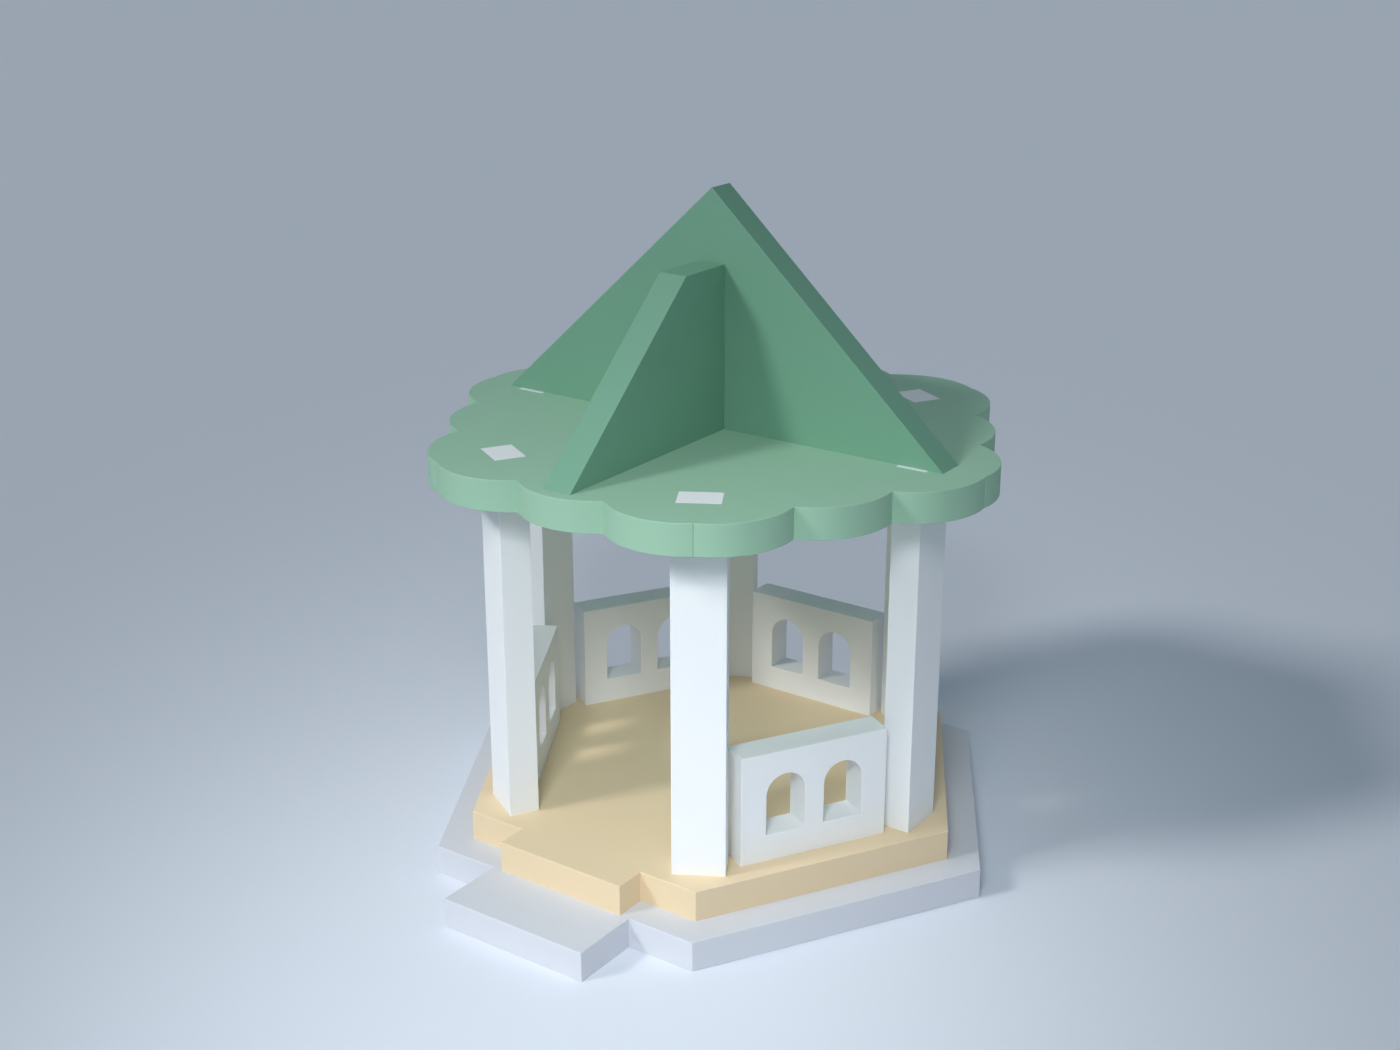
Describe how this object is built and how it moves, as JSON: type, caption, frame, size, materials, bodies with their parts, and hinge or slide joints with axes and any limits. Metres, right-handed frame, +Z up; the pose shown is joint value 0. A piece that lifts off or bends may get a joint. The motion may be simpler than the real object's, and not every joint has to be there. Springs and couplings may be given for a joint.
{
  "type": "slot-together board model of a gazebo",
  "caption": "Open hexagonal gazebo model cut from board: stepped base and floor, tenoned posts, arched balustrade panels, scalloped canopy and two crossed roof fins.",
  "frame": {"origin": "centre of the hexagon, on the underside of the base plate", "axes": "+Z up; the entry and both steps face -Y; the right-hand post stands on +X"},
  "size_m": [0.242, 0.2383, 0.2605],
  "materials": {
    "base_paint": "smooth matt paint on board",
    "floor_paint": "smooth matt paint on board",
    "white_paint": "smooth matt paint on board",
    "canopy_paint": "smooth matt paint on board",
    "fin_paint": "smooth matt paint on board"
  },
  "bodies": {
    "root": {"base_plate": "base_paint", "floor_plate": "floor_paint", "post_right": "white_paint", "post_back_right": "white_paint", "post_back_left": "white_paint", "post_left": "white_paint", "post_front_left": "white_paint", "post_front_right": "white_paint", "panel_front_right": "white_paint", "panel_back_right": "white_paint", "panel_back": "white_paint", "panel_back_left": "white_paint", "panel_front_left": "white_paint", "canopy": "canopy_paint", "main_fin": "fin_paint", "cross_fin": "fin_paint"}
  },
  "joints": []
}
